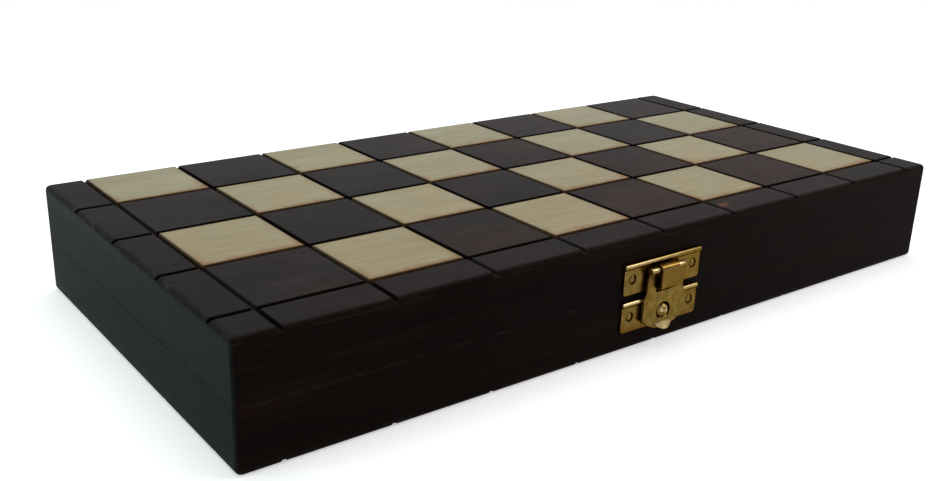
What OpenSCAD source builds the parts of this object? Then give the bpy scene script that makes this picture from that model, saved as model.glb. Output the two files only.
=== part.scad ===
// Folding checkers set: two shallow wooden trays, hinged along the back, whose outer faces
// are the two halves of the board. A snap latch holds them shut at the front, and the
// checkers stand on edge in two channels of the lower tray.
// +X runs along the box, +Y to the hinges and +Z up. The origin is on the surface that the
// shut box lies on, under the middle of its outline with latch and hinges.

/* [Board] */
// Side of one playing square, from the middle of a groove to the next
square = 33.5; // [30:0.5:40]
// Border at the left end
border_left = 13.25; // [10:0.25:20]
// Border at the right end
border_right = 13.25; // [10:0.25:20]
// Border on the latch side
border_front = 14; // [11:0.5:20]
// Depth of the row of squares that ends at the hinges
hinge_row = 32.5; // [24:0.5:40]
// Thickness of each board panel
board_t = 5; // [3.5:0.1:8]
// Rounding of the panels' outer edges and of the upright corners
edge_r = 1.8; // [1:0.1:3]
// Width of a milled groove
groove_w = 1.6; // [1.2:0.1:2.4]
// Depth of a milled groove
groove_d = 1.2; // [0.8:0.1:2]
// Chamfer on both lips of a groove
groove_lip = 0.25; // [0.1:0.05:0.4]
// Thickness of a light square, let into the panel
tile_t = 1; // [0.5:0.1:1.2]

/* [Case] */
// Thickness of the rails round each tray
rail_t = 7; // [6:0.1:10]
// Chamfer on the outer edge of the rails at the seam
seam_ease = 0.3; // [0.1:0.05:0.8]
// Thickness of the dividing slats
slat_t = 3; // [2:0.1:5]
// Depth of the slats' upper edges below the seam
slat_drop = 1.5; // [0.5:0.1:4]
// Depth of the slots that hold the ends of a slat
housing = 1.5; // [0.8:0.1:2.5]

/* [Checkers] */
// Diameter of a checker
checker_d = 26; // [22:0.5:29]
// Thickness of a checker
checker_t = 7; // [6:0.1:8]
// Rounding of a checker's rim
checker_round = 1; // [0.5:0.1:1.5]
// Radius of the turned ring on both faces of a checker
ring_r = 9.6; // [8.5:0.1:9.8]
// Half the width of that ring
ring_half_w = 0.8; // [0.4:0.1:1]
// Radius of the hollow inside the ring
dish_r = 7.2; // [5:0.1:7.5]
// Depth of the hollow
dish_d = 0.8; // [0.3:0.1:1.2]
// Checkers in one row
per_side = 12; // [8:1:12]
// Spare length of a channel beside its row
row_slack = 5; // [3:0.5:12]
// Room in a channel on each side of the checkers
channel_gap = 0.5; // [0.4:0.1:1]
// Room between the checkers and the lid's panel
headroom = 1.7; // [1:0.1:4]
// Gap between a row and what it rests on or against
rest_gap = 0.3; // [0.2:0.05:0.5]

/* [Hinges] */
// Length of a hinge
hinge_l = 28; // [22:0.5:40]
// Distance from the end of the box to the nearest hinge
hinge_inset = 42; // [30:1:70]
// Width of a leaf on the rim, from the back face
leaf_w = 5.8; // [5.2:0.1:5.9]
// Thickness of a leaf
leaf_t = 0.8; // [0.6:0.05:1]
// Radius of a knuckle
knuckle_r = 1.9; // [1.7:0.05:2.4]
// Radius of the hinge pin
pin_r = 0.8; // [0.6:0.05:0.9]
// Radial clearance of the pin
pin_fit = 0.05; // [0.02:0.01:0.08]
// Gap between two knuckles
knuckle_gap = 0.3; // [0.2:0.05:0.5]
// Distance of the hinge axis behind the back faces
hinge_stand = 0.15; // [0.1:0.05:0.3]
// Clearance round the knuckles in the rails
notch_gap = 0.35; // [0.3:0.05:0.6]

/* [Latch] */
// Width of the two latch plates
plate_w = 34; // [30:0.5:40]
// Height of the two latch plates
plate_h = 10.5; // [9.5:0.1:11]
// How far the plates stand out from the wood
plate_t = 1.2; // [1:0.05:1.4]
// Height of the upper plate's lower edge above the seam
plate_rise = 0.3; // [0.2:0.05:1]
// Depth of the lower plate's upper edge below the seam
strike_drop = 1.9; // [1.5:0.1:2.5]
// Rounding of the plates' corners
plate_corner = 1.2; // [0.8:0.1:1.8]
// Width of the lower step round each stamped plate
plate_step = 0.6; // [0.3:0.05:0.8]
// Height of the hasp's bar above the seam
bar_rise = 7.3; // [7:0.1:7.8]
// Distance of the bar's middle from the wood
bar_out = 2.6; // [2.4:0.05:2.9]
// Radius of the bar
bar_r = 0.95; // [0.8:0.05:1]
// Radial clearance between the bar and the tongue
bar_fit = 0.08; // [0.05:0.01:0.1]
// Thickness of the tongue
tongue_t = 0.8; // [0.6:0.05:0.9]
// Width of the tongue
tongue_w = 7.6; // [6.5:0.1:8]
// Length of the tongue below the bar's middle
tongue_l = 6.5; // [5.5:0.1:6.6]
// Gap between moving latch parts
latch_gap = 0.3; // [0.25:0.05:0.4]
// Thickness of the hasp, with its turned edge
hasp_t = 1.1; // [0.9:0.05:1.2]
// Width of the hasp's arms, over both
arms_w = 15.4; // [14:0.1:17]
// Width of the hasp below its shoulders
hasp_w = 18.2; // [17:0.1:20]
// Depth of the shoulders below the seam
shoulder_drop = 1.2; // [0.6:0.1:2]
// Depth of the hasp's lower end below the seam
hasp_drop = 13.2; // [12.5:0.1:13.5]
// Radius of the hasp's round lower end
hasp_end_r = 13; // [11:0.5:16]
// Depth of the window's lower edge below the bar's middle
window_l = 7.6; // [7.5:0.05:8]
// Depth of the stud's middle below the seam
stud_drop = 7.5; // [7:0.1:8]
// Radius of the stud
stud_r = 2.8; // [2.2:0.1:3]
// Height of the stud over the lower plate
stud_h = 2.3; // [1.8:0.1:2.6]
// Width of the thumb lip
lip_w = 8.4; // [6:0.1:9]
// Height of the thumb lip
lip_h = 2.6; // [2:0.1:3.2]
// How far the thumb lip turns out from the hasp
lip_out = 1.4; // [0.8:0.1:1.8]

/* [Nails] */
// Distance of a latch nail from the middle of its plate
latch_nail_x = 13.6; // [12.5:0.1:14]
// Radius of a latch nail
nail_r = 0.6; // [0.5:0.05:0.8]
// Radius of a latch nail's head
nail_head_r = 1.25; // [1:0.05:1.4]
// Length of a latch nail in the wood
nail_l = 5; // [4:0.5:5.5]
// Radius of a hinge nail
hinge_nail_r = 0.5; // [0.4:0.05:0.6]
// Radius of a hinge nail's countersunk head
hinge_head_r = 1.1; // [0.9:0.05:1.2]
// Length of a hinge nail
hinge_nail_l = 8; // [6:0.5:10]
// Clearance round a nail
nail_fit = 0.02; // [0.01:0.01:0.05]

/* [Hidden] */
$fn = 48;
eps = 0.01;
columns = 8;
rows = 4;

box_l = border_left + columns * square + border_right;
box_d = border_front + (rows - 1) * square + hinge_row;
inner_h = rest_gap + checker_d + headroom;
seam_z = board_t + inner_h / 2;
box_h = 2 * seam_z;

roll_in = bar_r + bar_fit;
roll_out = roll_in + tongue_t;
latch_proud = bar_out + roll_out;
hinge_proud = hinge_stand + knuckle_r;
left_x = -box_l / 2;
right_x = box_l / 2;
front_y = (latch_proud - hinge_proud - box_d) / 2;
back_y = front_y + box_d;
inner_left = left_x + rail_t;
inner_right = right_x - rail_t;
inner_front = front_y + rail_t;
inner_back = back_y - rail_t;

// Channels of the lower tray
channel_w = checker_d + 2 * channel_gap;
bay_l = per_side * checker_t + row_slack;
slat_top = seam_z - slat_drop;
front_channel_y = inner_front + channel_w / 2;
back_channel_y = inner_back - channel_w / 2;
row_z = board_t + rest_gap + checker_d / 2;
row_start = -bay_l / 2 + rest_gap;

// Hinges
hinge_x = box_l / 2 - hinge_inset - hinge_l / 2;
axis_y = back_y + hinge_stand;
knuckle_l = (hinge_l - 2 * knuckle_gap) / 3;
mid_wall = (pin_r + pin_fit + knuckle_r) / 2;
hinge_nail_x = hinge_l / 2 - knuckle_l / 2;
hinge_nail_y = back_y - knuckle_r - notch_gap - (leaf_w - knuckle_r - notch_gap) / 2;
sink_h = hinge_head_r - hinge_nail_r;

// Latch
latch_x = left_x + border_left + columns / 2 * square;
bar_y = front_y - bar_out;
bar_z = seam_z + bar_rise;
hasp_back = plate_t + latch_gap;
hasp_step = 0.4;
slot_h = 0.6;
window_w = tongue_w + 2 * latch_gap;
hole_r = stud_r + latch_gap;
plate_roll_r = plate_t / 2;
head_seat = plate_t / 2;
head_h = 0.6;

function two_digits(i) = str(i < 10 ? "0" : "", i);

// The upper tray is the lower one turned over at the seam.
module as_lid() {
    translate([0, 0, box_h]) mirror([0, 0, 1]) children();
}

// Panels and light squares, drawn as the lower panel, with the playing face at z = 0

module corner_points() {
    for (x = [left_x + edge_r, right_x - edge_r], y = [front_y + edge_r, back_y - edge_r])
        translate([x, y, 0]) children();
}

module outline_prism(z0, z1) {
    translate([0, 0, z0]) linear_extrude(z1 - z0) {
        translate([left_x + edge_r, front_y]) square([box_l - 2 * edge_r, box_d]);
        translate([left_x, front_y + edge_r]) square([box_l, box_d - 2 * edge_r]);
        corner_points() circle(edge_r);
    }
}

module panel_blank() {
    outline_prism(edge_r, board_t);
    translate([left_x + edge_r, front_y + edge_r, 0])
        cube([box_l - 2 * edge_r, box_d - 2 * edge_r, board_t]);
    translate([0, 0, edge_r]) {
        corner_points() sphere(edge_r);
        for (y = [front_y + edge_r, back_y - edge_r])
            translate([left_x + edge_r, y, 0]) rotate([0, 90, 0])
                cylinder(h = box_l - 2 * edge_r, r = edge_r);
        for (x = [left_x + edge_r, right_x - edge_r])
            translate([x, front_y + edge_r, 0]) rotate([-90, 0, 0])
                cylinder(h = box_d - 2 * edge_r, r = edge_r);
    }
}

function column_x(i) = left_x + border_left + i * square;
function row_y(j) = front_y + border_front + j * square;

// Section of a groove, cut upwards from z = 0
module groove_section() {
    half = groove_w / 2;
    polygon([
        [-half - groove_lip - eps, -eps], [half + groove_lip + eps, -eps],
        [half, groove_lip], [half, groove_d], [-half, groove_d], [-half, groove_lip]
    ]);
}

module grooves() {
    for (i = [0:columns])
        translate([column_x(i), back_y + 1, 0]) rotate([90, 0, 0])
            linear_extrude(box_d + 2) groove_section();
    for (j = [0:rows - 1])
        translate([left_x - 1, row_y(j), 0]) rotate([90, 0, 90])
            linear_extrude(box_l + 2) groove_section();
}

// Where the light squares lie: parity 0 or 1 picks the cells
module light_cells(parity, depth) {
    for (i = [0:columns - 1], j = [0:rows - 1])
        if ((i + j) % 2 == parity) {
            y1 = j == rows - 1 ? back_y + 1 : row_y(j + 1);
            translate([column_x(i), row_y(j), -1])
                cube([square, y1 - row_y(j), depth + 1]);
        }
}

module panel(parity) {
    difference() {
        panel_blank();
        light_cells(parity, tile_t);
        grooves();
    }
}

module light_squares(parity) {
    difference() {
        intersection() {
            panel_blank();
            light_cells(parity, tile_t);
        }
        grooves();
    }
}

// Rails, drawn as those of the lower tray, with mitred corners

// Chamfer along the outer edge of a rail at the seam, as a cutter along +X
module seam_cutter(length) {
    translate([-1, 0, seam_z]) rotate([45, 0, 0])
        translate([0, -seam_ease / sqrt(2), -seam_ease / sqrt(2)])
            cube([length + 2, sqrt(2) * seam_ease, sqrt(2) * seam_ease]);
}

module long_rail(y_out, side) {
    difference() {
        intersection() {
            outline_prism(board_t, seam_z);
            translate([0, 0, board_t]) linear_extrude(seam_z - board_t) polygon([
                [left_x, y_out], [right_x, y_out],
                [inner_right, y_out + side * rail_t], [inner_left, y_out + side * rail_t]
            ]);
        }
        translate([left_x, y_out, 0]) seam_cutter(box_l);
    }
}

module short_rail(x_out, side) {
    difference() {
        intersection() {
            outline_prism(board_t, seam_z);
            translate([0, 0, board_t]) linear_extrude(seam_z - board_t) polygon([
                [x_out, front_y], [x_out, back_y],
                [x_out + side * rail_t, inner_back], [x_out + side * rail_t, inner_front]
            ]);
        }
        translate([x_out, front_y, 0]) rotate([0, 0, 90]) seam_cutter(box_d);
    }
}

module slat_slots(y_in, side) {
    for (x = [-bay_l / 2 - slat_t, bay_l / 2])
        translate([x, min(y_in - side, y_in + side * housing), board_t - 1])
            cube([slat_t, housing + 1, seam_z - board_t + 2]);
}

// Holes for latch nails in the front rail, at a height z
module latch_nail_holes(z) {
    for (s = [-1, 1])
        translate([latch_x + s * latch_nail_x, front_y - eps, z]) rotate([-90, 0, 0])
            cylinder(h = nail_l + eps, r = nail_r + nail_fit);
}

module hinge_places() {
    for (s = [-1, 1]) translate([s * hinge_x, 0, 0]) children();
}

// Room for leaves and knuckles in the rim of a back rail
module hinge_recess() {
    hinge_places() {
        translate([-hinge_l / 2, back_y - leaf_w, seam_z - leaf_t])
            cube([hinge_l, leaf_w + 1, leaf_t + 1]);
        translate([-hinge_l / 2 - notch_gap, axis_y, seam_z]) rotate([0, 90, 0])
            cylinder(h = hinge_l + 2 * notch_gap, r = knuckle_r + notch_gap);
        hinge_nail_spots()
            translate([0, 0, -hinge_nail_l]) cylinder(h = hinge_nail_l, r = hinge_nail_r + nail_fit);
    }
}

module hinge_nail_spots() {
    for (s = [-1, 1]) translate([s * hinge_nail_x, hinge_nail_y, seam_z]) children();
}

module front_rail() {
    long_rail(front_y, 1);
}

module back_rail() {
    difference() {
        long_rail(back_y, -1);
        hinge_recess();
    }
}

// Lower tray

module base_board() {
    color("#3a3130") panel(0);
}

module base_light_squares() {
    color("#cbbf94") light_squares(0);
}

module base_front_rail() {
    color("#2a1c1a") difference() {
        front_rail();
        slat_slots(inner_front, -1);
        latch_nail_holes(strike_mid_z());
    }
}

module base_back_rail() {
    color("#2a1c1a") difference() {
        back_rail();
        slat_slots(inner_back, 1);
    }
}

module base_left_rail() {
    color("#2c2422") short_rail(left_x, 1);
}

module base_right_rail() {
    color("#2c2422") short_rail(right_x, -1);
}

// A slat across the tray, notched for the slats of both channels
module cross_slat(x, notch_x) {
    color("#c9a877") difference() {
        translate([x, inner_front - housing, board_t])
            cube([slat_t, inner_back - inner_front + 2 * housing, slat_top - board_t]);
        for (y = [inner_front + channel_w, inner_back - channel_w - slat_t])
            translate([notch_x, y, board_t - 1]) cube([slat_t / 2, slat_t, slat_top]);
    }
}

module left_slat() {
    cross_slat(-bay_l / 2 - slat_t, -bay_l / 2 - slat_t / 2);
}

module right_slat() {
    cross_slat(bay_l / 2, bay_l / 2);
}

// A slat along a channel, with its ends in the notches of the cross slats
module channel_slat(y) {
    color("#c9a877") translate([-bay_l / 2 - slat_t / 2, y, board_t])
        cube([bay_l + slat_t, slat_t, slat_top - board_t]);
}

module front_slat() {
    channel_slat(inner_front + channel_w);
}

module back_slat() {
    channel_slat(inner_back - channel_w - slat_t);
}

// Upper tray

module lid_board() {
    color("#3a3130") as_lid() panel(1);
}

module lid_light_squares() {
    color("#cbbf94") as_lid() light_squares(1);
}

module lid_front_rail() {
    color("#2a1c1a") difference() {
        as_lid() front_rail();
        latch_nail_holes(plate_mid_z());
    }
}

module lid_back_rail() {
    color("#2a1c1a") as_lid() back_rail();
}

module lid_left_rail() {
    color("#2c2422") as_lid() short_rail(left_x, 1);
}

module lid_right_rail() {
    color("#2c2422") as_lid() short_rail(right_x, -1);
}

// Hinges: the lower leaf has the two outer knuckles and the upper one has the middle one

function knuckle_start(k) = -hinge_l / 2 + k * (knuckle_l + knuckle_gap);

module knuckle_tube(k, r) {
    translate([knuckle_start(k), axis_y, seam_z]) rotate([0, 90, 0])
        cylinder(h = knuckle_l, r = r);
}

// One leaf below the seam, with the knuckles in own and room for those in other
module leaf(own, other) {
    difference() {
        union() {
            difference() {
                translate([-hinge_l / 2, back_y - leaf_w, seam_z - leaf_t])
                    cube([hinge_l, leaf_w + hinge_stand - mid_wall, leaf_t]);
                for (k = other)
                    translate([
                        knuckle_start(k) - knuckle_gap, axis_y - knuckle_r - notch_gap,
                        seam_z - leaf_t - 1
                    ])
                        cube([knuckle_l + 2 * knuckle_gap, knuckle_r + 1, leaf_t + 2]);
            }
            for (k = own) knuckle_tube(k, knuckle_r);
        }
        translate([-hinge_l / 2 - 1, axis_y, seam_z]) rotate([0, 90, 0])
            cylinder(h = hinge_l + 2, r = pin_r + pin_fit);
        hinge_nail_spots() {
            translate([0, 0, -leaf_t - 1])
                cylinder(h = leaf_t + 2, r = hinge_nail_r + nail_fit);
            translate([0, 0, -sink_h])
                cylinder(h = sink_h + eps, r1 = hinge_nail_r + nail_fit,
                         r2 = hinge_head_r + nail_fit);
        }
    }
}

module base_leaf(s) {
    color("#b08d3c") translate([s * hinge_x, 0, 0]) leaf([0, 2], [1]);
}

module lid_leaf(s) {
    color("#b08d3c") as_lid() translate([s * hinge_x, 0, 0]) leaf([1], [0, 2]);
}

module hinge_pin(s) {
    color("#9a7a30") translate([s * hinge_x - hinge_l / 2, axis_y, seam_z]) rotate([0, 90, 0])
        cylinder(h = hinge_l, r = pin_r);
}

module hinge_nails() {
    color("#9a7a30") hinge_places() hinge_nail_spots() {
        translate([0, 0, -hinge_nail_l + nail_fit])
            cylinder(h = hinge_nail_l - sink_h, r = hinge_nail_r);
        translate([0, 0, -sink_h])
            cylinder(h = sink_h, r1 = hinge_nail_r, r2 = hinge_head_r);
    }
}

module base_hinge_nails() {
    hinge_nails();
}

module lid_hinge_nails() {
    as_lid() hinge_nails();
}

// Latch, drawn with its face to -Y: faces_front turns a flat drawing of X and Z upright,
// with its first layer on the wood and the next ones in front of it

module faces_front() {
    translate([latch_x, front_y, 0]) rotate([90, 0, 0]) children();
}

function plate_mid_z() = seam_z + plate_rise + plate_h / 2;
function strike_mid_z() = seam_z - strike_drop - plate_h / 2;

module round_corner_outline(w, h, r) {
    square([w - 2 * r, h], center = true);
    square([w, h - 2 * r], center = true);
    for (sx = [-1, 1], sy = [-1, 1])
        translate([sx * (w / 2 - r), sy * (h / 2 - r)]) circle(r);
}

// A stamped plate round mid_z, with its rolled upper edge and its nail holes
module stamped_plate(mid_z) {
    difference() {
        faces_front() translate([0, mid_z, 0]) {
            linear_extrude(plate_t / 2) round_corner_outline(plate_w, plate_h, plate_corner);
            linear_extrude(plate_t) round_corner_outline(
                plate_w - 2 * plate_step, plate_h - 2 * plate_step, plate_corner);
            translate([plate_corner - plate_w / 2, plate_h / 2 - plate_roll_r, plate_roll_r])
                rotate([0, 90, 0]) cylinder(h = plate_w - 2 * plate_corner, r = plate_roll_r);
        }
        for (s = [-1, 1])
            faces_front() translate([s * latch_nail_x, mid_z, 0]) {
                translate([0, 0, -1]) cylinder(h = plate_t + 2, r = nail_r + nail_fit);
                translate([0, 0, head_seat])
                    cylinder(h = plate_t, r = nail_head_r + latch_gap);
            }
    }
}

module plate_nails(mid_z) {
    color("#8e7430") faces_front() for (s = [-1, 1])
        translate([s * latch_nail_x, mid_z, 0]) {
            translate([0, 0, -nail_l + nail_fit])
                cylinder(h = nail_l + head_seat, r = nail_r);
            translate([0, 0, head_seat]) nail_head();
        }
}

// Domed head: the top of a sphere whose edge has the head's radius
module nail_head() {
    sphere_r = (pow(nail_head_r, 2) + pow(head_h, 2)) / (2 * head_h);
    intersection() {
        translate([0, 0, head_h - sphere_r]) sphere(sphere_r);
        cylinder(h = head_h + eps, r = nail_head_r);
    }
}

module strike_plate() {
    color("#b08d3c") {
        stamped_plate(strike_mid_z());
        faces_front() translate([0, seam_z - stud_drop, plate_t - eps]) stud();
    }
}

module stud() {
    sphere_r = (pow(stud_r, 2) + pow(stud_h, 2)) / (2 * stud_h);
    intersection() {
        translate([0, 0, stud_h - sphere_r]) sphere(sphere_r);
        cylinder(h = stud_h + 1, r = stud_r);
    }
}

// The tongue leaves the plate above the bar, rolls over it, comes down before the window
// and goes back to the plate, so that the bar can turn but not drop out.
module tongue() {
    translate([latch_x - tongue_w / 2, bar_y, bar_z]) rotate([90, 0, 90])
        linear_extrude(tongue_w) mirror([1, 0]) {
            difference() {
                circle(roll_out);
                circle(roll_in);
                translate([-roll_out - 1, -2 * roll_out]) square([2 * roll_out + 2, 2 * roll_out]);
            }
            translate([-roll_out, -bar_r]) square([tongue_t, bar_r]);
            translate([roll_in, tongue_t - tongue_l]) square([tongue_t, tongue_l - tongue_t]);
            translate([roll_in, tongue_t - tongue_l]) intersection() {
                circle(tongue_t);
                translate([0, -tongue_t]) square(tongue_t);
            }
            translate([plate_t / 2 - bar_out, -tongue_l])
                square([roll_in + bar_out - plate_t / 2, tongue_t]);
        }
}

module latch_plate() {
    color("#b08d3c") {
        difference() {
            stamped_plate(plate_mid_z());
            translate([latch_x - tongue_w / 2, front_y - plate_t - 1, bar_z + roll_out - latch_gap])
                cube([tongue_w, plate_t + 2, slot_h]);
        }
        tongue();
    }
}

module strike_nails() {
    plate_nails(strike_mid_z());
}

module latch_nails() {
    plate_nails(plate_mid_z());
}

// Outline of the hasp in X and Z, drawn inset for its raised field
module hasp_outline(inset) {
    translate([-arms_w / 2 + inset, seam_z - stud_drop])
        square([arms_w - 2 * inset, bar_rise + stud_drop]);
    intersection() {
        translate([-hasp_w / 2 + inset, seam_z - hasp_drop])
            square([hasp_w - 2 * inset, hasp_drop - shoulder_drop - inset]);
        translate([0, seam_z - hasp_drop + hasp_end_r]) circle(hasp_end_r - inset);
    }
}

// The thumb lip: the middle of the lower end, turned outwards
module thumb_lip() {
    intersection() {
        translate([latch_x - lip_w / 2, front_y - hasp_back, seam_z - hasp_drop])
            rotate([90, 0, 90]) linear_extrude(lip_w) polygon([
                [0, lip_h], [-hasp_t, lip_h], [-hasp_t - lip_out, 0],
                [-hasp_t - lip_out + tongue_t, -eps], [0, tongue_t]
            ]);
        faces_front() translate([0, seam_z - hasp_drop + lip_w / 2, 0])
            cylinder(h = latch_proud, r = lip_w / 2);
    }
}

module hasp() {
    color("#b8974a") {
        difference() {
            union() {
                faces_front() translate([0, 0, hasp_back]) {
                    linear_extrude(hasp_t - hasp_step) hasp_outline(0);
                    linear_extrude(hasp_t) hasp_outline(hasp_step);
                }
            }
            translate([latch_x - window_w / 2, front_y - latch_proud, bar_z - window_l])
                cube([window_w, latch_proud, window_l + bar_r]);
            faces_front() translate([0, seam_z - stud_drop, 0])
                cylinder(h = latch_proud, r = hole_r);
        }
        translate([latch_x - arms_w / 2, bar_y, bar_z]) rotate([0, 90, 0])
            cylinder(h = arms_w, r = bar_r);
        thumb_lip();
    }
}

// Checkers: turned discs that stand on edge, with their axes along X

module checker_profile() {
    r = checker_d / 2;
    dish_sphere = (pow(dish_r, 2) + pow(dish_d, 2)) / (2 * dish_d);
    difference() {
        union() {
            square([r - checker_round, checker_t]);
            translate([0, checker_round]) square([r, checker_t - 2 * checker_round]);
            for (z = [checker_round, checker_t - checker_round])
                translate([r - checker_round, z]) circle(checker_round);
        }
        for (z = [0, checker_t]) translate([ring_r, z]) circle(ring_half_w);
        for (z = [dish_d - dish_sphere, checker_t - dish_d + dish_sphere])
            translate([0, z]) circle(dish_sphere, $fn = 160);
    }
}

module checker(i, y) {
    translate([row_start + (i - 1) * checker_t, y, row_z]) rotate([0, 90, 0])
        rotate_extrude() checker_profile();
}

module light_checker(i) {
    color("#d8b987") checker(i, front_channel_y);
}

module dark_checker(i) {
    color("#4a2c22") checker(i, back_channel_y);
}

base_board();
base_light_squares();
base_front_rail();
base_back_rail();
base_left_rail();
base_right_rail();
left_slat();
right_slat();
front_slat();
back_slat();
base_leaf(-1);  // base_hinge_leaf_left
base_leaf(1);  // base_hinge_leaf_right
base_hinge_nails();
hinge_pin(-1);  // hinge_pin_left
hinge_pin(1);  // hinge_pin_right
strike_plate();
strike_nails();
lid_board();
lid_light_squares();
lid_front_rail();
lid_back_rail();
lid_left_rail();
lid_right_rail();
lid_leaf(-1);  // lid_hinge_leaf_left
lid_leaf(1);  // lid_hinge_leaf_right
lid_hinge_nails();
latch_plate();
latch_nails();
hasp();
for (i = [1:per_side]) {
    light_checker(i);
    dark_checker(i);
}
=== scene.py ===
import math
from functools import partial

import bmesh
import bpy
from mathutils import Matrix, Vector


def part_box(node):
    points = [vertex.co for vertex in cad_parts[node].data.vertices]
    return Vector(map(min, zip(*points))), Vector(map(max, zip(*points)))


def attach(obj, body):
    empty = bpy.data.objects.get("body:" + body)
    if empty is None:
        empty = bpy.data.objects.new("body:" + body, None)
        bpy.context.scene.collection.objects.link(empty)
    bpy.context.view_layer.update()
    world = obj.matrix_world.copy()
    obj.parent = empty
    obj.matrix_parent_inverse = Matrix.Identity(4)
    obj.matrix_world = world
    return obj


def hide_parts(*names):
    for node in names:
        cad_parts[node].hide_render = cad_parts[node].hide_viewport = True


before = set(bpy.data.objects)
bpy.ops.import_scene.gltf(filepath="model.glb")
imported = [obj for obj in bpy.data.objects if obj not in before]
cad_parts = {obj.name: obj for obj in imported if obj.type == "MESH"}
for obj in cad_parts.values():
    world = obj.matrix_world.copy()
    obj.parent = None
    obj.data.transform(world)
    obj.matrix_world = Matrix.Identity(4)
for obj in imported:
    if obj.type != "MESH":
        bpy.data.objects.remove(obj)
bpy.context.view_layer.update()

# Studio: the set lies shut on a white table, seen from the front left and a little above,
# at about half a metre, as in the photograph.
mm = 0.001
lens, film_w = 41.41, 36
camera_at = Vector((-241.70, -287.06, 147.34)) * mm
camera_turn, camera_dip, camera_roll = -37.13, 19.89, 1.71
scene = bpy.context.scene
camera = bpy.data.objects.new("camera", bpy.data.cameras.new("camera"))
scene.collection.objects.link(camera)
scene.camera = camera
camera.data.lens = lens
camera.data.sensor_width = film_w
camera.data.clip_start = 10 * mm
camera.matrix_world = (
    Matrix.Translation(camera_at)
    @ Matrix.Rotation(math.radians(camera_turn), 4, "Z")
    @ Matrix.Rotation(math.radians(90 - camera_dip), 4, "X")
    @ Matrix.Rotation(math.radians(camera_roll), 4, "Z")
)

scene.view_settings.view_transform = "Standard"


def add_node(tree, kind, *plugs, **settings):
    """A shader node whose sockets take plugs in order: a socket to link, a value, or None."""
    made = tree.nodes.new("ShaderNode" + kind)
    for name, value in settings.items():
        setattr(made, name, value)
    for socket, plug in zip(made.inputs, plugs):
        if isinstance(plug, bpy.types.NodeSocket):
            tree.links.new(plug, socket)
        elif plug is not None:
            socket.default_value = plug
    return made


def node_on(kind, *plugs, **settings):
    """A shader node in the tree that the first socket among its plugs belongs to."""
    tree = next(plug.id_data for plug in plugs if isinstance(plug, bpy.types.NodeSocket))
    return add_node(tree, kind, *plugs, **settings)


def math_of(operation, *values):
    return node_on("Math", *values, operation=operation).outputs[0]


greater_of = partial(math_of, "MAXIMUM")


def seen_directly(tree):
    """1 for what the camera sees, straight or in a mirror, and 0 for light on the object."""
    rays = add_node(tree, "LightPath").outputs
    seen = greater_of(rays["Is Camera Ray"], rays["Is Glossy Ray"])
    return greater_of(seen, rays["Is Transmission Ray"])


world = bpy.data.worlds.new("studio")
scene.world = world
world.use_nodes = True
sky = world.node_tree
sky.nodes.clear()
white_wall = add_node(sky, "Background", (1, 1, 1, 1), 1.0).outputs[0]
soft_light = add_node(sky, "Background", (0.93, 0.97, 1, 1), 0.36).outputs[0]
shown = add_node(sky, "MixShader", seen_directly(sky), soft_light, white_wall).outputs[0]
add_node(sky, "OutputWorld", shown)


def add_lamp(name, place, size, power, colour):
    lamp = bpy.data.objects.new(name, bpy.data.lights.new(name, "AREA"))
    scene.collection.objects.link(lamp)
    lamp.data.size = size
    lamp.data.energy = power
    lamp.data.color = colour
    lamp.location = place
    lamp.rotation_euler = (-Vector(place)).to_track_quat("-Z", "Y").to_euler()


add_lamp("window_above", (0.05, 0.25, 1.20), 0.9, 7.8, (1, 0.98, 0.95))
add_lamp("window_right", (0.78, -0.62, 0.80), 0.4, 4.4, (1, 0.98, 0.94))
add_lamp("window_left", (-1.1, 0.15, 0.45), 0.6, 4.2, (0.72, 0.98, 1))


def length_of(vector):
    return node_on("VectorMath", vector, operation="LENGTH").outputs["Value"]


def between(value, low, high):
    """0 below low, 1 above high, and a smooth change between them."""
    return node_on("MapRange", value, low, high, 0.0, 1.0,
                   interpolation_type="SMOOTHSTEP").outputs[0]


table_half, shadow_end = 3.0, 350 * mm
bm = bmesh.new()
bmesh.ops.create_grid(bm, x_segments=8, y_segments=8, size=table_half)
table_mesh = bpy.data.meshes.new("table")
bm.to_mesh(table_mesh)
bm.free()
table = bpy.data.objects.new("table", table_mesh)
scene.collection.objects.link(table)
table_white = bpy.data.materials.new("table_white")
table_white.use_nodes = True
tree = table_white.node_tree
tree.nodes.clear()
matt = add_node(tree, "BsdfDiffuse", (0.86, 0.86, 0.86, 1)).outputs[0]
bright = add_node(tree, "BsdfDiffuse", (0.8, 0.8, 0.8, 1)).outputs[0]
lift = add_node(tree, "Emission", (1, 1, 1, 1), 0.45).outputs[0]
bright = add_node(tree, "AddShader", bright, lift).outputs[0]
place = add_node(tree, "TexCoord").outputs["Object"]
far_off = between(length_of(place), shadow_end, shadow_end + 450 * mm)
plain = add_node(tree, "Emission", (1, 1, 1, 1), 1.0).outputs[0]
bright = add_node(tree, "MixShader", far_off, bright, plain).outputs[0]
shown = add_node(tree, "MixShader", seen_directly(tree), matt, bright).outputs[0]
add_node(tree, "OutputMaterial", shown)
table_mesh.materials.append(table_white)

# Board panels: two boards of one thickness, stained dark brown. A saw has milled a groove
# along every line of squares, right through the rounded edges, and burnt it nearly black.
square, border_left, border_front = 33.5 * mm, 13.25 * mm, 14 * mm
groove_w, groove_d, lip = 1.6 * mm, 1.2 * mm, 0.22 * mm
edge_r, tile_t, tile_bed = 1.8 * mm, 1 * mm, 0.3 * mm
columns, rows = 8, 4
hair, past, weld = 0.02 * mm, 1 * mm, 0.001 * mm

outline_low, outline_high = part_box("base_board")
seam_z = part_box("base_front_rail")[1].z
top_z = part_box("lid_board")[1].z
column_x = [outline_low.x + border_left + i * square for i in range(columns + 1)]
row_y = [outline_low.y + border_front + j * square for j in range(rows)]
back_y = outline_high.y


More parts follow.
